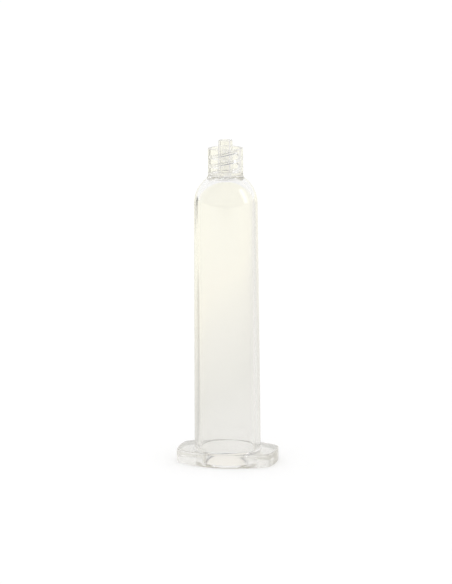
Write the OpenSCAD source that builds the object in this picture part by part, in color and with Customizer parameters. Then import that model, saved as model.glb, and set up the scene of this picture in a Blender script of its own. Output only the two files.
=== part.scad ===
// Empty cartridge barrel of the syringe type, one clear moulding: an eared flange
// round the open end, a drafted tube with a round shoulder, and a male luer-lock
// tip inside a threaded collar. It stands on its flange with the tip up, and the
// ears point along X. All sizes are in millimetres.

/* [Tube] */
// Overall length, from the open face of the flange to the end of the tip
total_len = 92; // [80:1:120]
// Bore that takes a piston, or frits with a bed between them
bore_d = 15.4; // [14:0.1:17]
// Wall where the tube leaves the flange
root_wall = 1.75; // [1.2:0.05:2.4]
// Wall where the shoulder begins, which is thinner because the tube is drafted
shoulder_wall = 1.2; // [0.8:0.05:1.6]
// Lead-in chamfer at the open end of the bore
mouth_chamfer = 0.5; // [0.2:0.1:0.8]
// Fillet where the tube stands on the flange
root_fillet = 0.5; // [0.2:0.1:1]

/* [Flange] */
// Length across the two ears
flange_len = 28.6; // [27:0.2:36]
// Radius of the curved end of each ear
ear_r = 22; // [19:1:40]
// How far the two long sides stand out from the tube
side_margin = 0.25; // [0.1:0.05:1]
// Radius of each long side
side_r = 23; // [20:1:40]
// Thickness
flange_t = 3.8; // [2.5:0.1:5]
// Radius of the four ear corners, seen from above
corner_r = 1.6; // [1:0.1:2.5]
// Radius on the top and bottom edges
edge_r = 0.4; // [0.2:0.05:0.6]

/* [Luer tip] */
// Diameter of the tip at its free end
tip_d = 3.95; // [3.9:0.01:4]
// Growth of the tip's diameter for each millimetre towards its root
taper = 0.06; // [0.05:0.005:0.07]
// Distance that the tip stands out of the collar
tip_out = 2.2; // [2.1:0.1:3]
// Channel through the tip
channel_d = 2.2; // [1.6:0.1:2.6]
// Chamfer on the free end of the tip
tip_chamfer = 0.2; // [0.1:0.05:0.3]

/* [Collar] */
// Wall outside the root of the thread
collar_wall = 0.9; // [0.7:0.05:1.3]
// Depth of the socket between the tip and the collar
socket_depth = 6.8; // [6:0.1:8]
// Thickness from the socket's floor to the top of the dome inside the tube
tip_floor = 1.1; // [0.8:0.1:2]
// Chamfer on both edges of the rim
rim_chamfer = 0.25; // [0.1:0.05:0.3]
// Fillet between the collar and the shoulder
collar_fillet = 1.8; // [0.5:0.1:2.5]

/* [Thread] */
// Diameter at the root of the thread
major_d = 8; // [8:0.1:8.4]
// Height of a ridge
ridge_h = 0.5; // [0.4:0.05:0.55]
// Width of a ridge at its foot
ridge_foot = 1.1; // [0.9:0.1:1.3]
// Width of a ridge at its crest
ridge_crest = 0.4; // [0.3:0.1:0.6]
// Rise of each of the two ridges in a full turn
lead = 5; // [4.5:0.5:5.5]
// Distance from the ridges' feet to the rim and to the socket's floor
ridge_gap = 0.1; // [0.05:0.05:0.3]
// Angle over which a ridge fades out at each end
fade = 30; // [15:5:45]
// Direction in which the first ridge meets the rim
start_angle = -20; // [-180:5:180]

/* [Hidden] */

$fn = 96;
eps = 0.01;
starts = 2;             // a luer-lock collar has a double thread
ring_step = 10;         // largest angle between two sections of a ridge
foot_depth = 0.3;       // how far a ridge's foot runs into the collar
round_proud = 0.02;     // how far a corner's round stands proud of touching its arcs
ring_inset = 0.1;       // how far the root fillet stays inside the flange's flat top
ring_sink = 0.02;       // how far the root fillet runs into the tube and the flange

bore_r = bore_d / 2;
root_r = bore_r + root_wall;
shoulder_r = bore_r + shoulder_wall;
thread_r = major_d / 2;
collar_r = thread_r + collar_wall;

rim_z = total_len - tip_out;
floor_z = rim_z - socket_depth;
shoulder_z = floor_z - tip_floor - bore_r;      // centre of the shoulder and of the dome in it

// ---- Flange ----

// Centres of the right ear's end arc, at [-ear_offset, 0], and of the rear side's arc,
// at [0, -side_offset]
ear_offset = ear_r - flange_len / 2;
side_offset = side_r - root_r - side_margin;

// The point in the first quadrant at distance a from the first centre and b from the second
function meeting_point(a, b) =
    let (
        base = (a * a - b * b - pow(ear_offset, 2) + pow(side_offset, 2)) / (2 * ear_offset),
        slope = side_offset / ear_offset,
        half_b = base * slope + side_offset,
        square = 1 + slope * slope,
        y = (sqrt(half_b * half_b - square * (base * base + pow(side_offset, 2) - b * b)) - half_b) / square
    )
    [base + slope * y, y];

// Centre of the round of one ear corner, which touches both arcs from inside
corner = meeting_point(ear_r - corner_r, side_r - corner_r);

// A disc with rounded top and bottom edges
module rounded_disc(r) {
    rotate_extrude() {
        translate([0, edge_r]) square([r, flange_t - 2 * edge_r]);
        square([r - edge_r, flange_t]);
        for (z = [edge_r, flange_t - edge_r])
            translate([r - edge_r, z])
                intersection() {
                    circle(edge_r);
                    translate([0, -edge_r]) square([edge_r, 2 * edge_r]);
                }
    }
}

// What the round takes off a corner: all that lies beyond the round, between the two
// directions in which it meets the arcs
module corner_cut() {
    ear_dir = atan2(corner.y, corner.x + ear_offset);
    side_dir = atan2(corner.y + side_offset, corner.x);
    reach = 2 * corner_r;
    translate([corner.x, corner.y, 0])
        difference() {
            translate([0, 0, -eps])
                linear_extrude(flange_t + 2 * eps)
                    polygon([
                        [0, 0],
                        reach * [cos(ear_dir), sin(ear_dir)],
                        2 * reach * [cos((ear_dir + side_dir) / 2), sin((ear_dir + side_dir) / 2)],
                        reach * [cos(side_dir), sin(side_dir)],
                    ]);
            rounded_disc(corner_r + round_proud);
        }
}

module at_corners() {
    for (mx = [0, 1], my = [0, 1])
        mirror([mx, 0, 0]) mirror([0, my, 0]) children();
}

module flange() {
    difference() {
        intersection_for (s = [-1, 1]) {
            intersection() {
                translate([s * ear_offset, 0, 0]) rounded_disc(ear_r);
                translate([0, s * side_offset, 0]) rounded_disc(side_r);
            }
        }
        at_corners() corner_cut();
    }
}

// ---- Tube and shoulder ----

module tube() {
    cylinder(h = shoulder_z, r1 = root_r, r2 = shoulder_r);
    translate([0, 0, shoulder_z]) sphere(shoulder_r);
}

// Concave ring between the tube and the flange, kept to the flange's flat top
module root_ring() {
    foot_r = root_r - (root_r - shoulder_r) * flange_t / shoulder_z;
    intersection() {
        translate([0, 0, flange_t])
            rotate_extrude()
                difference() {
                    translate([foot_r - root_fillet, -root_fillet])
                        square(2 * root_fillet - ring_sink);
                    translate([foot_r + root_fillet - ring_sink, root_fillet - ring_sink])
                        circle(root_fillet);
                }
        intersection_for (s = [-1, 1])
            translate([0, s * side_offset, 0])
                cylinder(h = flange_t + root_fillet, r = side_r - edge_r - ring_inset);
    }
}

// Everything that the piston, the bed and the liquid can reach
module bore() {
    translate([0, 0, -eps]) cylinder(h = shoulder_z + eps, r = bore_r);
    translate([0, 0, shoulder_z]) sphere(bore_r);
    translate([0, 0, -eps])
        cylinder(h = mouth_chamfer + eps, r1 = bore_r + mouth_chamfer + eps, r2 = bore_r);
}

// ---- Luer tip and collar ----

// The collar's outside, solid down into the shoulder
module collar() {
    base_z = shoulder_z + bore_r;
    body_h = rim_z - rim_chamfer - base_z;
    translate([0, 0, base_z]) cylinder(h = body_h, r = collar_r);
    translate([0, 0, base_z + body_h])
        cylinder(h = rim_chamfer, r1 = collar_r, r2 = collar_r - rim_chamfer);
}

// Concave ring between the collar and the shoulder, touching both
module collar_ring() {
    ring_r = collar_r + collar_fillet;
    rise = sqrt(pow(shoulder_r + collar_fillet, 2) - pow(ring_r, 2));
    touch = shoulder_r / (shoulder_r + collar_fillet);
    inner_r = collar_r - collar_wall / 2;
    translate([0, 0, shoulder_z])
        rotate_extrude()
            difference() {
                polygon([
                    [inner_r, rise],
                    [inner_r, rise * touch - collar_wall / 2],
                    [ring_r * touch, rise * touch],
                    [ring_r, rise],
                ]);
                translate([ring_r, rise]) circle(collar_fillet);
            }
}

// The space between the tip and the collar, open at the rim
module socket() {
    translate([0, 0, floor_z]) cylinder(h = socket_depth + eps, r = thread_r);
    translate([0, 0, rim_z - rim_chamfer])
        cylinder(h = rim_chamfer + eps, r1 = thread_r, r2 = thread_r + rim_chamfer + eps);
}

// The tapered male tip
module tip() {
    free_r = tip_d / 2;
    shaft = total_len - floor_z - tip_chamfer;
    translate([0, 0, floor_z - eps])
        cylinder(h = shaft + eps, r1 = free_r + taper * shaft / 2, r2 = free_r);
    translate([0, 0, total_len - tip_chamfer])
        cylinder(h = tip_chamfer, r1 = free_r, r2 = free_r - tip_chamfer);
}

module channel() {
    translate([0, 0, shoulder_z]) cylinder(h = total_len - shoulder_z + eps, d = channel_d);
}

// ---- Thread ----

// How much of its full height a ridge has at an angle along its run
function fade_in(a, run) = min(1, a / fade, (run - a) / fade);

// One section across a ridge: foot, crest, crest, foot, from the bottom up
function ridge_section(a, z, run) =
    let (
        top_r = thread_r - ridge_h * fade_in(a, run),
        foot_r = thread_r + foot_depth,
        outline = [
            [foot_r, -ridge_foot / 2],
            [top_r, -ridge_crest / 2],
            [top_r, ridge_crest / 2],
            [foot_r, ridge_foot / 2],
        ]
    )
    [for (p = outline) [p[0] * cos(-a), p[0] * sin(-a), z + p[1]]];

// A ridge that winds down from the rim to the socket's floor
module ridge() {
    top_z = rim_z - ridge_gap - ridge_foot / 2;
    drop = socket_depth - 2 * ridge_gap - ridge_foot;
    run = 360 * drop / lead;
    rings = ceil(run / ring_step);
    sections = [
        for (i = [0:rings]) ridge_section(run * i / rings, top_z - drop * i / rings, run)
    ];
    sides = [
        for (i = [0:rings - 1], k = [0:3])
            let (next = (k + 1) % 4)
            [4 * i + k, 4 * i + next, 4 * i + 4 + next, 4 * i + 4 + k]
    ];
    polyhedron(
        points = [for (s = sections) each s],
        faces = concat([[3, 2, 1, 0]], sides, [[for (k = [0:3]) 4 * rings + k]]),
        convexity = 6
    );
}

module thread() {
    for (i = [0:starts - 1]) rotate(start_angle + 360 * i / starts) ridge();
}

// ---- The moulding ----

module barrel() {
    color([0.96, 0.95, 0.9, 0.4])
        difference() {
            union() {
                flange();
                root_ring();
                tube();
                collar_ring();
                difference() {
                    collar();
                    socket();
                }
                tip();
                thread();
            }
            bore();
            channel();
        }
}

barrel();
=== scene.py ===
from math import acos, atan2, cos, degrees, hypot, pi, radians, sin, sqrt

import bpy
import numpy as np
from mathutils import Matrix, Vector


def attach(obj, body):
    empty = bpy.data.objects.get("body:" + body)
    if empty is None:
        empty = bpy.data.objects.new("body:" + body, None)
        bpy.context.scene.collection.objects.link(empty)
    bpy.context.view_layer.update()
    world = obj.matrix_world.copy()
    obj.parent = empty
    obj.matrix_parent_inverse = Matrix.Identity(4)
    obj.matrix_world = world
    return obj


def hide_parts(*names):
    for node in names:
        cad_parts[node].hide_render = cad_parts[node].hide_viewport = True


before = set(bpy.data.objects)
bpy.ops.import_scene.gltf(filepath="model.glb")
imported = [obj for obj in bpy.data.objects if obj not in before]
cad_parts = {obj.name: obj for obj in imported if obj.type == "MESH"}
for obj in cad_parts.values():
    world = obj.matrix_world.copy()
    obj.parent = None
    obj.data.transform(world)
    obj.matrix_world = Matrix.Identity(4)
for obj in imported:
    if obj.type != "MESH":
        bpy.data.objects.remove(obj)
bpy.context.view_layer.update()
print("frame loaded:", ", ".join(sorted(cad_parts)))

millimetre = 0.001


def linearColour(hexColour, alpha=1.0):
    # sRGB hex to linear: below 0.04045 a straight line, above it a power of 2.4
    channels = np.array([int(hexColour[i:i + 2], 16) / 255 for i in (0, 2, 4)])
    linear = np.where(channels <= 0.04045, channels / 12.92, ((channels + 0.055) / 1.055) ** 2.4)
    return (*linear.tolist(), alpha)


def addNode(tree, kind, settings=None, links=None):
    # settings name the node's own properties or its sockets, links name sockets to be fed; a Mix of
    # colours has its factor at socket 0, its colours at 6 and 7, and the result at 2
    node = tree.nodes.new(kind)
    for name, value in (settings or {}).items():
        if isinstance(name, str) and hasattr(node, name):
            setattr(node, name, value)
        else:
            node.inputs[name].default_value = value
    for name, source in (links or {}).items():
        tree.links.new(source, node.inputs[name])
    return node


def emptyTree(owner):
    # the cleared node tree of a material or a world
    owner.use_nodes = True
    owner.node_tree.nodes.clear()
    return owner.node_tree


barrel = {                           # lengths in mm
    "totalLength": 92.0,             # open face of the flange to the end of the tip
    "boreRadius": 7.7,
    "rootWall": 1.75,                # tube wall at the flange
    "shoulderWall": 1.2,             # tube wall at the shoulder, thinner by the draft
    "mouthChamfer": 0.5,             # lead-in at the open end of the bore
    "rootFillet": 0.5,               # where the tube stands on the flange
    "flangeLength": 28.6,            # across the two ears
    "earRadius": 22.0,               # of the curved end of each ear
    "sideMargin": 0.25,              # flange sides stand out from the tube by this
    "sideRadius": 23.0,              # of each long side
    "flangeThickness": 3.8,
    "cornerRadius": 1.6,             # of the four ear corners, seen from above
    "edgeRadius": 0.4,               # on the flange's upper and lower edges
    "edgeShare": 0.5,                # share of a narrow flange top that its edge takes at most
    "filletShare": 0.42,             # and that the fillet takes
    "tipDiameter": 3.95,             # at the free end
    "taper": 0.06,                   # growth of that diameter for each mm towards the root
    "tipOut": 2.2,                   # tip beyond the collar's rim
    "channelRadius": 1.1,
    "tipEdge": 0.2,                  # round on the free end
    "tipFillet": 0.24,               # where the tip stands on the socket's floor
    "collarWall": 0.9,               # outside the thread's root
    "socketDepth": 6.8,              # from the rim to the socket's floor
    "tipFloor": 1.1,                 # socket floor to the dome inside the tube
    "rimEdge": 0.25,                 # rounds on both edges of the rim
    "collarFillet": 1.8,             # between the collar and the shoulder
    "threadRadius": 4.0,             # at the thread's root
    "ridgeHeight": 0.5,
    "ridgeFoot": 1.1,                # width of a ridge at its foot
    "ridgeCrest": 0.4,               # and at its crest
    "footDepth": 0.3,                # the ridge's flanks start this deep in the collar's wall
    "lead": 5.0,                     # rise of each of the two ridges in a full turn
    "ridgeGap": 0.1,                 # ridge ends to the rim and to the socket's floor
    "fadeAngle": 30.0,               # degrees over which a ridge fades out at each end
    "startAngle": -20.0,             # degrees, the direction in which the first ridge meets the rim
    "softEdge": 0.08,                # the small radius that moulding leaves on every other edge
    "threadStep": 0.07,              # height between two rows of the grid along the thread
    "quarterColumns": (14, 10, 40),  # grid columns over a quarter's ear, corner and side
}

rootRadius = barrel["boreRadius"] + barrel["rootWall"]
shoulderRadius = barrel["boreRadius"] + barrel["shoulderWall"]
collarRadius = barrel["threadRadius"] + barrel["collarWall"]
rimHeight = barrel["totalLength"] - barrel["tipOut"]
floorHeight = rimHeight - barrel["socketDepth"]
shoulderHeight = floorHeight - barrel["tipFloor"] - barrel["boreRadius"]
sideReach = rootRadius + barrel["sideMargin"]
earCentre = np.array([barrel["flangeLength"] / 2 - barrel["earRadius"], 0.0])
sideCentre = np.array([0.0, sideReach - barrel["sideRadius"]])


def circleCrossing(centreA, radiusA, centreB, radiusB):
    # the upper right point where two circles cross: so far along the line of centres, so far across
    gap = centreB - centreA
    length = hypot(*gap)
    along = (radiusA ** 2 - radiusB ** 2 + length ** 2) / (2 * length)
    across = sqrt(radiusA ** 2 - along ** 2)
    unit = gap / length
    square = np.array([-unit[1], unit[0]])
    sides = [centreA + along * unit + side * across * square for side in (1, -1)]
    return max(sides, key=lambda point: point[0] + point[1])


cornerCentre = circleCrossing(
    earCentre, barrel["earRadius"] - barrel["cornerRadius"],
    sideCentre, barrel["sideRadius"] - barrel["cornerRadius"])


def touchAngle(centre, radius):
    # the direction, seen from the axis, of the point where a corner's arc touches the arc with this
    # centre and radius: that point lies on the line through both centres
    away = cornerCentre - centre
    touch = centre + radius * away / hypot(*away)
    return atan2(touch[1], touch[0])


earTouch = touchAngle(earCentre, barrel["earRadius"])
sideTouch = touchAngle(sideCentre, barrel["sideRadius"])


def columnAngles():
    # radial planes, closer together where the four ear corners turn
    ear, corner, side = barrel["quarterColumns"]
    quarter = np.concatenate([
        np.linspace(0, earTouch, ear, endpoint=False),
        np.linspace(earTouch, sideTouch, corner, endpoint=False),
        np.linspace(sideTouch, pi / 2, side, endpoint=False)])
    half = np.concatenate([quarter, [pi / 2], pi - quarter[:0:-1]])
    return np.concatenate([half, half + pi])


angles = columnAngles()
outward = np.stack([np.cos(angles), np.sin(angles)], axis=1)


def flangeOutline():
    # where each radial plane meets the outline: an ear arc, a corner arc or a side arc, worked out
    # in one quarter and mirrored, with the direction straight out of the arc; the reach along the
    # plane is the centre's share of it plus the root that is left of the arc's radius
    folded = np.abs(outward)
    turn = np.arctan2(folded[:, 1], folded[:, 0])
    points = np.zeros_like(folded)
    normals = np.zeros_like(folded)
    arcs = [
        (earCentre, barrel["earRadius"], turn <= earTouch),
        (cornerCentre, barrel["cornerRadius"], (turn > earTouch) & (turn < sideTouch)),
        (sideCentre, barrel["sideRadius"], turn >= sideTouch)]
    for centre, radius, chosen in arcs:
        along = folded[chosen] @ centre
        reach = along + np.sqrt(along ** 2 - centre @ centre + radius ** 2)
        points[chosen] = folded[chosen] * reach[:, None]
        normals[chosen] = (points[chosen] - centre) / radius
    mirror = np.where(outward < 0, -1.0, 1.0)
    return points * mirror, normals * mirror


outlinePoints, outlineNormals = flangeOutline()
outlineReach = np.hypot(outlinePoints[:, 0], outlinePoints[:, 1])


def ring(radius, height):
    # a row of the grid at one radius and height, either of which may differ from column to column
    xy = outward * np.broadcast_to(radius, angles.shape)[:, None]
    return np.column_stack([xy, np.broadcast_to(height, angles.shape)])


def rim(inset, height):
    # a row that follows the flange's outline, moved in by inset
    xy = outlinePoints - outlineNormals * np.broadcast_to(inset, angles.shape)[:, None]
    return np.column_stack([xy, np.broadcast_to(height, angles.shape)])


def between(first, last, steps, margin=0.0):
    # rows strictly between two rows, with one close to each end where a margin holds a flat face flat
    shares = np.arange(1, steps) / steps
    if margin:
        shares = np.concatenate([[margin], shares, [1 - margin]])
    return [first + share * (last - first) for share in shares]


def rounded(centreRadius, centreHeight, radius, start, end, steps):
    # rows along an arc of the section, from one angle to the other in degrees
    turns = np.radians(np.linspace(start, end, steps + 1))
    return [
        ring(centreRadius + radius * np.cos(turn), centreHeight + radius * np.sin(turn)) for turn in turns]


def tubeRadius(height):
    # the outside of the drafted tube narrows in a straight line from the flange to the shoulder
    return rootRadius + (shoulderRadius - rootRadius) * height / shoulderHeight


def ridgeHeight(height):
    # how far the two ridges stand in from the socket's wall: each winds down right-handed, one lead
    # to a turn, with a trapezoid for a section, and fades out at both ends
    top = rimHeight - barrel["ridgeGap"] - barrel["ridgeFoot"] / 2
    drop = barrel["socketDepth"] - 2 * barrel["ridgeGap"] - barrel["ridgeFoot"]
    run = 360 * drop / barrel["lead"]
    crest = barrel["ridgeCrest"] / 2
    foot = barrel["ridgeFoot"] / 2
    share = barrel["footDepth"] / (barrel["footDepth"] + barrel["ridgeHeight"])
    wallFoot = foot - share * (foot - crest)
    stands = np.zeros_like(angles)
    for start in (0, 180):
        for turn in (0, 360):
            along = np.mod(barrel["startAngle"] + start - np.degrees(angles), 360) + turn
            away = np.abs(height - (top - barrel["lead"] * along / 360))
            fade = np.clip(np.minimum(along, run - along) / barrel["fadeAngle"], 0, 1)
            section = np.clip((wallFoot - away) / (wallFoot - crest), 0, 1)
            stands = np.maximum(stands, barrel["ridgeHeight"] * fade * section)
    return stands


def flangeRows():
    # bottom face, outer edge, top face and the fillet up to the tube: flat faces follow straight
    # lines, rounds follow quarter circles, and both rounds shrink where the top is narrow
    edge = barrel["edgeRadius"]
    thick = barrel["flangeThickness"]
    foot = tubeRadius(thick)
    room = outlineReach - foot
    topEdge = np.minimum(edge, barrel["edgeShare"] * room)
    fillet = np.minimum(barrel["rootFillet"], barrel["filletShare"] * room)
    turns = np.radians(np.linspace(0, 90, 7))
    mouth = ring(barrel["boreRadius"] + barrel["mouthChamfer"], 0)
    rows = [mouth]
    rows += between(mouth, rim(edge, 0), 4, margin=0.04)
    rows += [rim(edge * (1 - np.sin(turn)), edge * (1 - np.cos(turn))) for turn in turns]
    rows += between(rim(0, edge), rim(0, thick - topEdge), 4, margin=0.04)
    for turn in turns[::-1]:
        rows.append(rim(topEdge * (1 - np.sin(turn)), thick - topEdge * (1 - np.cos(turn))))
    rows += between(rim(topEdge, thick), ring(foot + fillet, thick), 4, margin=0.04)
    for turn in turns:
        height = thick + fillet * (1 - np.cos(turn))
        rows.append(ring(tubeRadius(height) + fillet * (1 - np.sin(turn)), height))
    return rows, thick + fillet


def tubeRows(startHeight):
    # the drafted tube, whose first row is close above the fillet, then the round shoulder, and the
    # fillet under the collar, which touches both: its centre stands off each by its own radius
    steps = 24
    closeAbove = 0.003          # share of the tube's height
    shares = np.concatenate([[closeAbove], np.arange(1, steps) / steps])
    heights = startHeight + shares[:, None] * (shoulderHeight - startHeight)
    rows = [ring(tubeRadius(height), height) for height in heights]
    filletCentre = collarRadius + barrel["collarFillet"]
    rise = sqrt((shoulderRadius + barrel["collarFillet"]) ** 2 - filletCentre ** 2)
    touch = degrees(atan2(rise, filletCentre))
    rows += rounded(0, shoulderHeight, shoulderRadius, 0, touch, 22)
    rows += rounded(filletCentre, shoulderHeight + rise, barrel["collarFillet"], 180 + touch, 180, 12)[1:]
    return rows, shoulderHeight + rise


def collarRows(startHeight):
    # the collar's outside, its rim, and the wall down to the socket's floor, from which the ridges
    # stand in by their height at each point
    edge = barrel["rimEdge"]
    soft = barrel["softEdge"]
    wall = barrel["threadRadius"]
    rows = between(ring(collarRadius, startHeight), ring(collarRadius, rimHeight - edge), 6, margin=0.02)
    rows += rounded(collarRadius - edge, rimHeight - edge, edge, 0, 90, 6)
    rows += between(ring(collarRadius - edge, rimHeight), ring(wall + edge, rimHeight), 2, margin=0.1)
    inner = rounded(wall + edge, rimHeight - edge, edge, 90, 180, 6)
    depth = rimHeight - edge - floorHeight - soft
    steps = round(depth / barrel["threadStep"])
    inner += between(ring(wall, rimHeight - edge), ring(wall, floorHeight + soft), steps)
    inner += rounded(wall - soft, floorHeight + soft, soft, 0, -90, 4)
    for row in inner:
        stands = ridgeHeight(row[0, 2])
        row[:, :2] -= outward * stands[:, None]
    return rows + inner


def tipRows():
    # the socket's floor, the tapered tip, its end and the channel down to the dome, with a round
    # between each two; the last one stops where it runs into the dome
    soft = barrel["softEdge"]
    edge = barrel["tipEdge"]
    fillet = barrel["tipFillet"]
    free = barrel["tipDiameter"] / 2
    channel = barrel["channelRadius"]
    end = barrel["totalLength"]
    shaft = end - floorHeight - edge
    root = free + barrel["taper"] * shaft / 2
    domeEdge = shoulderHeight + sqrt(barrel["boreRadius"] ** 2 - channel ** 2)
    meetsDome = 262             # degrees
    floorRing = ring(barrel["threadRadius"] - soft, floorHeight)
    rows = between(floorRing, ring(root + fillet, floorHeight), 4, margin=0.05)
    rows += rounded(root + fillet, floorHeight + fillet, fillet, 270, 180, 5)
    rows += between(ring(root, floorHeight + fillet), ring(free, end - edge), 9, margin=0.01)
    rows += rounded(free - edge, end - edge, edge, 0, 90, 5)
    rows += between(ring(free - edge, end), ring(channel + soft, end), 3, margin=0.08)
    rows += rounded(channel + soft, end - soft, soft, 90, 180, 4)
    rows += between(ring(channel, end - soft), ring(channel, domeEdge + soft), 10, margin=0.01)
    rows += rounded(channel + soft, domeEdge + soft, soft, 180, meetsDome, 4)
    return rows


def boreRows():
    # the dome inside the tube, a ball from close round the channel's edge down to the straight bore,
    # and the lead-in at the mouth
    bore = barrel["boreRadius"]
    chamfer = barrel["mouthChamfer"]
    soft = barrel["softEdge"]
    domeStart = degrees(acos((barrel["channelRadius"] + 2 * soft) / bore))
    rows = rounded(0, shoulderHeight, bore, domeStart, 0, 30)
    rows += between(ring(bore, shoulderHeight), ring(bore, chamfer), 24, margin=0.004)
    rows.append(ring(bore, chamfer))
    rows += between(ring(bore, chamfer), ring(bore + chamfer, 0), 3, margin=0.06)
    return rows


def closedGrid(name, rows):
    # a grid of points that closes on itself both ways, round the axis and along the section
    points = np.stack(rows) * millimetre
    rowCount, columnCount = points.shape[:2]
    index = np.arange(rowCount * columnCount).reshape(rowCount, columnCount)
    nextRow = np.roll(index, -1, axis=0)
    nextColumn = np.roll(index, -1, axis=1)
    corner = np.roll(nextRow, -1, axis=1)
    quads = np.stack([index, nextRow, corner, nextColumn], axis=-1).reshape(-1, 4)
    flat = points.reshape(-1, 3)
    # six times the volume that the quads enclose is positive where they face outwards
    a, b, c, d = (flat[quads[:, k]] for k in range(4))
    volume = np.sum((np.cross(b - a, c - a) + np.cross(c - a, d - a)) * a)
    if volume < 0:
        quads = quads[:, ::-1]
    mesh = bpy.data.meshes.new(name)
    mesh.vertices.add(len(flat))
    mesh.loops.add(quads.size)
    mesh.polygons.add(len(quads))
    mesh.vertices.foreach_set("co", flat.ravel())
    mesh.loops.foreach_set("vertex_index", quads.ravel())
    mesh.polygons.foreach_set("loop_start", np.arange(0, quads.size, 4))
    mesh.polygons.foreach_set("loop_total", np.full(len(quads), 4))
    mesh.polygons.foreach_set("use_smooth", np.ones(len(quads), dtype=bool))
    mesh.update(calc_edges=True)
    mesh.validate()
    piece = bpy.data.objects.new(name, mesh)
    bpy.context.scene.collection.objects.link(piece)
    print(name, "rows", rowCount, "columns", columnCount, "volume ml", round(abs(volume) / 6 * 1e6, 2))
    return piece


def mouldedBarrel():
    # the section's rows in order: up the outside, over the rim, round the tip and down the bore
    flange, tubeStart = flangeRows()
    tube, collarStart = tubeRows(tubeStart)
    return closedGrid("moulded_barrel", flange + tube + collarRows(collarStart) + tipRows() + boreRows())


plastic = {
    "ior": 1.49,
    "tint": "ffffff",            # what each surface passes on
    "deep": "e8dfbc",            # colour of light that has run far inside
    "absorbs": 8.0,              # per metre
    "haze": 36.0,                # scattering per metre, by the crystals
    "hazeForward": 0.5,          # how far the haze keeps light going on ahead
    "roughness": (0.01, 0.035),  # polished mould, clouded a little in patches
    "cloudSize": 6.0,            # mm across a patch
    "cloudRange": (0.35, 0.65),  # the part of the noise over which that roughness is spread
    "satin": 0.1,                # roughness added on the flange
    "satinFade": (0.2, 0.6),     # mm above the flange's top over which it fades
    "waveSize": 12.0,            # mm between the soft waves that cooling leaves
    "waveHeight": 0.0008,        # mm, their height
}


def polypropylene():
    # clear and faintly milky, moulded in a polished tool: the eye sees bright thin walls with a soft
    # gloss, a warmer and whiter collar and flange where light runs far inside, and grey edges
    material = bpy.data.materials.new("clarified_polypropylene_moulded")
    tree = emptyTree(material)
    place = addNode(tree, "ShaderNodeTexCoord").outputs["Object"]
    # roughness: the polished mould's range by soft noise, plus the satin below the flange's top
    patches = addNode(tree, "ShaderNodeTexNoise", {
        "Scale": 1 / (plastic["cloudSize"] * millimetre), "Detail": 3.0, "Roughness": 0.55},
        {"Vector": place})
    cloud = addNode(tree, "ShaderNodeMapRange", {
        "From Min": plastic["cloudRange"][0], "From Max": plastic["cloudRange"][1],
        "To Min": plastic["roughness"][0], "To Max": plastic["roughness"][1]}, {
        "Value": patches.outputs["Fac"]})
    above = addNode(tree, "ShaderNodeSeparateXYZ", None, {"Vector": place})
    satin = addNode(tree, "ShaderNodeMapRange", {
        "From Min": (barrel["flangeThickness"] + plastic["satinFade"][1]) * millimetre,
        "From Max": (barrel["flangeThickness"] + plastic["satinFade"][0]) * millimetre,
        "To Max": plastic["satin"]}, {"Value": above.outputs["Z"]})
    rough = addNode(tree, "ShaderNodeMath", {"operation": "ADD"}, {
        0: cloud.outputs["Result"], 1: satin.outputs["Result"]})
    # the waves are a low bump from wider noise
    waves = addNode(tree, "ShaderNodeTexNoise", {
        "Scale": 1 / (plastic["waveSize"] * millimetre), "Detail": 1.0, "Roughness": 0.4},
        {"Vector": place})
    bump = addNode(tree, "ShaderNodeBump", {
        "Strength": 1.0, "Distance": plastic["waveHeight"] * millimetre}, {"Height": waves.outputs["Fac"]})
    shader = addNode(tree, "ShaderNodeBsdfPrincipled", {
        "Base Color": linearColour(plastic["tint"]), "IOR": plastic["ior"], "Transmission Weight": 1.0},
        {"Roughness": rough.outputs["Value"], "Normal": bump.outputs["Normal"]})
    # inside, absorption that turns long paths cream, plus a white haze
    absorbed = addNode(tree, "ShaderNodeVolumeAbsorption", {
        "Color": linearColour(plastic["deep"]), "Density": plastic["absorbs"]})
    scattered = addNode(tree, "ShaderNodeVolumeScatter", {
        "Color": linearColour("ffffff"), "Density": plastic["haze"], "Anisotropy": plastic["hazeForward"]})
    inside = addNode(tree, "ShaderNodeAddShader", None, {
        0: absorbed.outputs["Volume"], 1: scattered.outputs["Volume"]})
    addNode(tree, "ShaderNodeOutputMaterial", None, {
        "Surface": shader.outputs["BSDF"], "Volume": inside.outputs["Shader"]})
    return material


body = mouldedBarrel()
body.data.materials.append(polypropylene())
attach(body, "root")
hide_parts("barrel")
print("barrel made")


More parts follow.
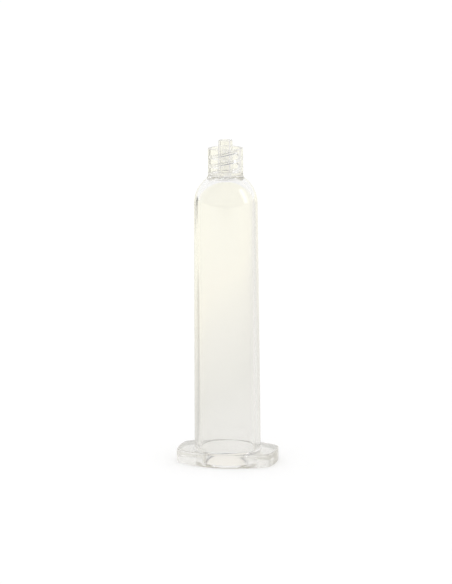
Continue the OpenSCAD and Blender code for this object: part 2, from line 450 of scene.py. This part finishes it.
studio = {
    "floorSize": 16.0,              # m
    "floorDrop": 0.05,              # mm that the floor lies below the flange
    "paper": "f4f4f4",              # the paper as the camera sees it
    "floorLift": 0.12,              # its own light to the camera, which whitens it and leaves the shadow
    "paintedShadeTurn": 58.5,              # degrees from +Y towards -X, the way the painted shade on the paper grows lighter
    "paintedFloorShade": [               # painted shade on the paper as it shows through the plastic, darker and greyer near the part and lighter and creamier further off: m that way, and colour
        (0.00, "efeeeb"), (0.06, "e9e8e2"), (0.13, "f3f1e8"), (0.19, "fdfaed"), (0.30, "fffdef")],
    "paintedMouthShade": [               # painted light inside the bore's mouth and painted shade under its chamfer, on the paper as the plastic shows it: mm from the axis, and colour
        (0.0, "fbf8f2"), (7.0, "f7f4ee"), (7.6, "9a989a"), (8.5, "9a989a"), (9.6, "c4c4c0")],
    "glowShare": 0.55,              # the share of that floor which keeps its colour in shade
    "glowStrength": 1.04,
    "edgeAt": 1.02,                 # middle of the painted shade along the flange's edge, in shares of its outline
    "edgeReach": 0.14,              # and how far it spreads, likewise
    "edgeShadeColour": "c6c6c0",
    "sheetEnds": (-0.62, -0.38),    # m from the part, where the paper ends towards the front
    "darkReflectionTurn": 49.0,                # degrees from +Y towards -X, to a painted dark reflection: a dark patch on the paper that only light turned back by the plastic sees
    "darkReflectionHalfWidth": 7.0,            # degrees
    "darkReflectionStarts": (0.3936, 0.4428),  # m from the part, from its start to where it is full
    "darkReflectionColour": "747474",
    "faintDarkReflectionTurn": 57.5,             # degrees likewise, to a fainter painted dark reflection of the same colour nearer by
    "faintDarkReflectionHalfWidth": 9.0,         # degrees
    "faintDarkReflectionEnds": (0.322, 0.238),   # m from the part, from its end to where it is full
    "faintDarkReflectionDepth": 0.35,            # its share of the first dark reflection's colour
    "light": 1.0,                   # the plain light all round
    "sweepTurn": 13.5,              # degrees likewise, to the middle of the white paper sweep
    "sweepEnds": (-0.05, 0.4),      # cosines of the angles from there where it has ended and is full
    "sweep": "ffffff",
    "roomThrough": "f6f6f2",        # the room beyond it, straight through the plastic
    "floorMirrored": "1c1c1c",      # painted dark reflection: the floor beyond the paper, near black only for light the plastic has turned back
    "roomMirrored": "9c9c9c",       # and the room, likewise
    "highlightTurn": -84.0,               # degrees likewise, to a painted highlight: a tall bright patch that only light turned back by the plastic sees and that lights nothing
    "highlightHalfWidth": 9.0,            # degrees
    "highlightEnds": (-0.1, 0.7),         # sines of the heights of its lower and upper end
    "highlightStrength": 2.4,
    "softSides": 0.15,              # share of a patch's half width over which its sides fade
    "softEnds": 0.04,               # and the sines over which its ends fade
}


def aheadOf(turn):
    # the level direction at some degrees from +Y towards -X
    return -sin(radians(turn)), cos(radians(turn)), 0


def patchOf(tree, direction, turn, halfWidth, low, high):
    # one inside a tall patch of directions and zero outside it, with soft edges: sides times ends
    across = (-cos(radians(turn)), -sin(radians(turn)), 0)
    spread = sin(radians(halfWidth))
    side = studio["softSides"]
    end = studio["softEnds"]
    forward = addNode(tree, "ShaderNodeVectorMath", {
        "operation": "DOT_PRODUCT", 1: aheadOf(turn)}, {0: direction})
    sideways = addNode(tree, "ShaderNodeVectorMath", {
        "operation": "DOT_PRODUCT", 1: across}, {0: direction})
    apart = addNode(tree, "ShaderNodeMath", {"operation": "ABSOLUTE"}, {0: sideways.outputs["Value"]})
    inside = addNode(tree, "ShaderNodeMapRange", {
        "interpolation_type": "SMOOTHSTEP", "From Min": spread * (1 + side),
        "From Max": spread * (1 - side)}, {"Value": apart.outputs["Value"]})
    facing = addNode(tree, "ShaderNodeMath", {"operation": "GREATER_THAN", 1: 0.0}, {
        0: forward.outputs["Value"]})
    upward = addNode(tree, "ShaderNodeSeparateXYZ", None, {"Vector": direction})
    above = addNode(tree, "ShaderNodeMapRange", {
        "interpolation_type": "SMOOTHSTEP", "From Min": low - end, "From Max": low + end}, {
        "Value": upward.outputs["Z"]})
    below = addNode(tree, "ShaderNodeMapRange", {
        "interpolation_type": "SMOOTHSTEP", "From Min": high + end, "From Max": high - end}, {
        "Value": upward.outputs["Z"]})
    sides = addNode(tree, "ShaderNodeMath", {"operation": "MULTIPLY"}, {
        0: inside.outputs["Result"], 1: facing.outputs["Value"]})
    ends = addNode(tree, "ShaderNodeMath", {"operation": "MULTIPLY"}, {
        0: above.outputs["Result"], 1: below.outputs["Result"]})
    both = addNode(tree, "ShaderNodeMath", {"operation": "MULTIPLY"}, {
        0: sides.outputs["Value"], 1: ends.outputs["Value"]})
    return both.outputs["Value"]


def lightKinds(tree):
    # three factors of one or zero: light straight to the camera, light that has met the plastic, and
    # light that the plastic has mirrored at least once, by the count of its mirrorings cut off at one
    path = addNode(tree, "ShaderNodeLightPath")
    met = addNode(tree, "ShaderNodeMath", {"operation": "MAXIMUM"}, {
        0: path.outputs["Is Glossy Ray"], 1: path.outputs["Is Transmission Ray"]})
    turned = addNode(tree, "ShaderNodeMath", {"operation": "MINIMUM", 1: 1.0}, {
        0: path.outputs["Glossy Depth"]})
    return path.outputs["Is Camera Ray"], met.outputs["Value"], turned.outputs["Value"]


def paperColour(tree, place, reach, turned):
    # the paper as it shows through the plastic: painted shade as a ramp along one slant, with two painted
    # dark reflections in it for light that was turned back, and an end towards the front
    slanted = addNode(tree, "ShaderNodeVectorMath", {
        "operation": "DOT_PRODUCT", 1: aheadOf(studio["paintedShadeTurn"])}, {0: place})
    # painted shade: a ramp along one slant, darker and greyer near the part and lighter and creamier
    # further off
    stops = studio["paintedFloorShade"]
    share = addNode(tree, "ShaderNodeMapRange", {"From Max": stops[-1][0]}, {
        "Value": slanted.outputs["Value"]})
    ramp = addNode(tree, "ShaderNodeValToRGB", None, {"Fac": share.outputs["Result"]})
    elements = ramp.color_ramp.elements
    elements[0].color = linearColour(stops[0][1])
    elements[1].color = linearColour(stops[-1][1])
    for distance, hexColour in stops[1:-1]:
        elements.new(distance / stops[-1][0]).color = linearColour(hexColour)
    direction = addNode(tree, "ShaderNodeVectorMath", {"operation": "NORMALIZE"}, {0: place})
    aroundLevel = (-0.5, 0.5)   # on the floor every direction is level
    bands = []
    # two painted dark reflections on the paper, dark only for light that the plastic has turned back
    for turn, halfWidth, limits, depth in (
            (studio["darkReflectionTurn"], studio["darkReflectionHalfWidth"], studio["darkReflectionStarts"], 1.0),
            (studio["faintDarkReflectionTurn"], studio["faintDarkReflectionHalfWidth"], studio["faintDarkReflectionEnds"], studio["faintDarkReflectionDepth"])):
        sector = patchOf(tree, direction.outputs["Vector"], turn, halfWidth, *aroundLevel)
        length = addNode(tree, "ShaderNodeMapRange", {
            "interpolation_type": "SMOOTHSTEP", "From Min": limits[0], "From Max": limits[1],
            "To Max": depth}, {"Value": reach})
        band = addNode(tree, "ShaderNodeMath", {"operation": "MULTIPLY"}, {
            0: sector, 1: length.outputs["Result"]})
        bands.append(band.outputs["Value"])
    dark = addNode(tree, "ShaderNodeMath", {"operation": "MAXIMUM"}, {0: bands[0], 1: bands[1]})
    seen = addNode(tree, "ShaderNodeMath", {"operation": "MULTIPLY"}, {
        0: dark.outputs["Value"], 1: turned})
    paper = addNode(tree, "ShaderNodeMix", {
        "data_type": "RGBA", 7: linearColour(studio["darkReflectionColour"])}, {
        0: seen.outputs["Value"], 6: ramp.outputs["Color"]})
    # beyond the paper's end: the pale room straight through, and a painted dark reflection of a near black
    # floor for light turned back
    beyond = addNode(tree, "ShaderNodeMix", {
        "data_type": "RGBA", 6: linearColour(studio["roomThrough"]),
        7: linearColour(studio["floorMirrored"])}, {0: turned})
    forward = addNode(tree, "ShaderNodeVectorMath", {
        "operation": "DOT_PRODUCT", 1: aheadOf(studio["sweepTurn"])}, {0: place})
    onSheet = addNode(tree, "ShaderNodeMapRange", {
        "interpolation_type": "SMOOTHSTEP", "From Min": studio["sheetEnds"][0],
        "From Max": studio["sheetEnds"][1]}, {"Value": forward.outputs["Value"]})
    return addNode(tree, "ShaderNodeMix", {"data_type": "RGBA"}, {
        0: onSheet.outputs["Result"], 6: beyond.outputs[2], 7: paper.outputs[2]}).outputs[2]


def paintedContactShade(tree, place, reach, paper):
    # over that, painted light on the paper inside the bore's mouth with a painted shade under its chamfer,
    # and a painted shade along the flange's edge, by how far out a point is as a share of the outline's two
    # half widths
    mouth = studio["paintedMouthShade"]
    inward = addNode(tree, "ShaderNodeMapRange", {"From Max": mouth[-1][0] * millimetre}, {
        "Value": reach})
    ramp = addNode(tree, "ShaderNodeValToRGB", None, {"Fac": inward.outputs["Result"]})
    elements = ramp.color_ramp.elements
    elements[0].color = linearColour(mouth[0][1])
    elements[1].color = linearColour(mouth[-1][1], 0.0)
    for distance, hexColour in mouth[1:-1]:
        elements.new(distance / mouth[-1][0]).color = linearColour(hexColour)
    inMouth = addNode(tree, "ShaderNodeMix", {"data_type": "RGBA"}, {
        0: ramp.outputs["Alpha"], 6: paper, 7: ramp.outputs["Color"]})
    shares = (2 / (barrel["flangeLength"] * millimetre), 1 / (sideReach * millimetre), 0)
    spread = addNode(tree, "ShaderNodeVectorMath", {"operation": "MULTIPLY", 1: shares}, {0: place})
    farOut = addNode(tree, "ShaderNodeVectorMath", {"operation": "LENGTH"}, {
        0: spread.outputs["Vector"]})
    fromEdge = addNode(tree, "ShaderNodeMath", {"operation": "SUBTRACT", 1: studio["edgeAt"]}, {
        0: farOut.outputs["Value"]})
    apart = addNode(tree, "ShaderNodeMath", {"operation": "ABSOLUTE"}, {0: fromEdge.outputs["Value"]})
    shaded = addNode(tree, "ShaderNodeMapRange", {
        "interpolation_type": "SMOOTHSTEP", "From Min": studio["edgeReach"], "From Max": 0.0}, {
        "Value": apart.outputs["Value"]})
    return addNode(tree, "ShaderNodeMix", {
        "data_type": "RGBA", 7: linearColour(studio["edgeShadeColour"])}, {
        0: shaded.outputs["Result"], 6: inMouth.outputs[2]}).outputs[2]


def studioFloor():
    # one flat sheet of matt paper just under the flange, which the eye takes for plain white with a
    # soft shadow: a little light of its own whitens it for the camera, and through the plastic it shows
    # painted shade from pale grey to cream, painted contact shade and painted dark reflections
    half = studio["floorSize"] / 2
    mesh = bpy.data.meshes.new("studio_floor")
    corners = [(-half, -half, 0), (half, -half, 0), (half, half, 0), (-half, half, 0)]
    mesh.from_pydata(corners, [], [(0, 1, 2, 3)])
    floor = bpy.data.objects.new("studio_floor", mesh)
    bpy.context.scene.collection.objects.link(floor)
    floor.location.z = -studio["floorDrop"] * millimetre
    material = bpy.data.materials.new("matt_white_paper_painted_shade")
    tree = emptyTree(material)
    place = addNode(tree, "ShaderNodeTexCoord").outputs["Object"]
    reach = addNode(tree, "ShaderNodeVectorMath", {"operation": "LENGTH"}, {0: place}).outputs["Value"]
    straight, met, turned = lightKinds(tree)
    colour = paintedContactShade(tree, place, reach, paperColour(tree, place, reach, turned))
    lit = addNode(tree, "ShaderNodeBsdfDiffuse", None, {"Color": colour})
    glow = addNode(tree, "ShaderNodeEmission", {"Strength": studio["glowStrength"]}, {"Color": colour})
    through = addNode(tree, "ShaderNodeMixShader", {0: studio["glowShare"]}, {
        1: lit.outputs["BSDF"], 2: glow.outputs["Emission"]})
    plain = addNode(tree, "ShaderNodeBsdfDiffuse", {"Color": linearColour(studio["paper"])})
    lift = addNode(tree, "ShaderNodeMath", {"operation": "MULTIPLY", 1: studio["floorLift"]}, {
        0: straight})
    lifted = addNode(tree, "ShaderNodeEmission", {"Color": linearColour("ffffff")}, {
        "Strength": lift.outputs["Value"]})
    direct = addNode(tree, "ShaderNodeAddShader", None, {
        0: plain.outputs["BSDF"], 1: lifted.outputs["Emission"]})
    both = addNode(tree, "ShaderNodeMixShader", None, {
        "Fac": met, 1: direct.outputs["Shader"], 2: through.outputs["Shader"]})
    addNode(tree, "ShaderNodeOutputMaterial", None, {"Surface": both.outputs["Shader"]})
    mesh.materials.append(material)


def studioWorld():
    # plain white light all round, which is also what the camera sees; the plastic shows a white paper
    # sweep behind the object and a pale room in front of it, and to light that it has turned back a dimmer
    # room, a painted dark reflection, and a tall bright patch, a painted highlight that lights nothing
    world = bpy.data.worlds.new("studio_world")
    bpy.context.scene.world = world
    tree = emptyTree(world)
    direction = addNode(tree, "ShaderNodeTexCoord").outputs["Generated"]
    _, met, turned = lightKinds(tree)
    facing = addNode(tree, "ShaderNodeVectorMath", {
        "operation": "DOT_PRODUCT", 1: aheadOf(studio["sweepTurn"])}, {0: direction})
    share = addNode(tree, "ShaderNodeMapRange", {
        "interpolation_type": "SMOOTHSTEP", "From Min": studio["sweepEnds"][0],
        "From Max": studio["sweepEnds"][1]}, {"Value": facing.outputs["Value"]})
    # painted dark reflection: the room in front is dimmer for light that the plastic has turned back
    front = addNode(tree, "ShaderNodeMix", {
        "data_type": "RGBA", 6: linearColour(studio["roomThrough"]),
        7: linearColour(studio["roomMirrored"])}, {0: turned})
    shade = addNode(tree, "ShaderNodeMix", {
        "data_type": "RGBA", 7: linearColour(studio["sweep"])}, {
        0: share.outputs["Result"], 6: front.outputs[2]})
    room = addNode(tree, "ShaderNodeBackground", None, {"Color": shade.outputs[2]})
    # painted highlight: a tall bright patch only for light that the plastic has turned back; it lights
    # nothing
    patch = patchOf(tree, direction, studio["highlightTurn"], studio["highlightHalfWidth"], *studio["highlightEnds"])
    power = addNode(tree, "ShaderNodeMath", {"operation": "MULTIPLY", 1: studio["highlightStrength"]}, {0: patch})
    mirrored = addNode(tree, "ShaderNodeMath", {"operation": "MULTIPLY"}, {
        0: power.outputs["Value"], 1: turned})
    paintedHighlight = addNode(tree, "ShaderNodeBackground", {"Color": linearColour("ffffff")}, {
        "Strength": mirrored.outputs["Value"]})
    shown = addNode(tree, "ShaderNodeAddShader", None, {
        0: room.outputs["Background"], 1: paintedHighlight.outputs["Background"]})
    plain = addNode(tree, "ShaderNodeBackground", {
        "Color": linearColour("ffffff"), "Strength": studio["light"]})
    both = addNode(tree, "ShaderNodeMixShader", None, {
        "Fac": met, 1: plain.outputs["Background"], 2: shown.outputs["Shader"]})
    addNode(tree, "ShaderNodeOutputWorld", None, {"Surface": both.outputs["Shader"]})


camera = {
    "azimuth": 13.5,            # degrees that the view is turned from along +Y towards -X
    "distance": 0.7082,         # m from the axis, level
    "height": 0.1838,           # m
    "pitch": 0.188305,          # radians down
    "yaw": -0.000195,           # radians to the right
    "roll": -0.00771,           # radians
    "focal": 2557.8,            # pixels
    "imageHeight": 584,         # pixels
    "clip": (0.05, 50.0),       # m
}


def studioCamera():
    # the view's three directions in a frame that looks along +Y, then turned about Z
    turn = Matrix.Rotation(radians(camera["azimuth"]), 3, "Z")
    pitch = camera["pitch"]
    yaw = camera["yaw"]
    forward = Vector((sin(yaw) * cos(pitch), cos(yaw) * cos(pitch), -sin(pitch)))
    level = Vector((cos(yaw), -sin(yaw), 0))
    upright = level.cross(forward)
    right = cos(camera["roll"]) * level + sin(camera["roll"]) * upright
    up = right.cross(forward)
    axes = Matrix((turn @ right, turn @ up, turn @ -forward)).transposed()
    data = bpy.data.cameras.new("studio_camera")
    data.lens = camera["focal"] * data.sensor_width / camera["imageHeight"]
    data.clip_start, data.clip_end = camera["clip"]
    holder = bpy.data.objects.new("studio_camera", data)
    bpy.context.scene.collection.objects.link(holder)
    place = turn @ Vector((0, -camera["distance"], camera["height"]))
    holder.matrix_world = Matrix.Translation(place) @ axes.to_4x4()
    bpy.context.scene.camera = holder


studioFloor()
studioWorld()
studioCamera()
bpy.context.scene.view_settings.view_transform = "Standard"

# light turns many times inside clear plastic, and filtered gloss would lose some of it at each turn
cycles = bpy.context.scene.cycles
cycles.max_bounces = 64
cycles.diffuse_bounces = 16
cycles.glossy_bounces = 32
cycles.transmission_bounces = 64
cycles.volume_bounces = 32
cycles.blur_glossy = 0.0
print("studio set")

bpy.context.view_layer.update()
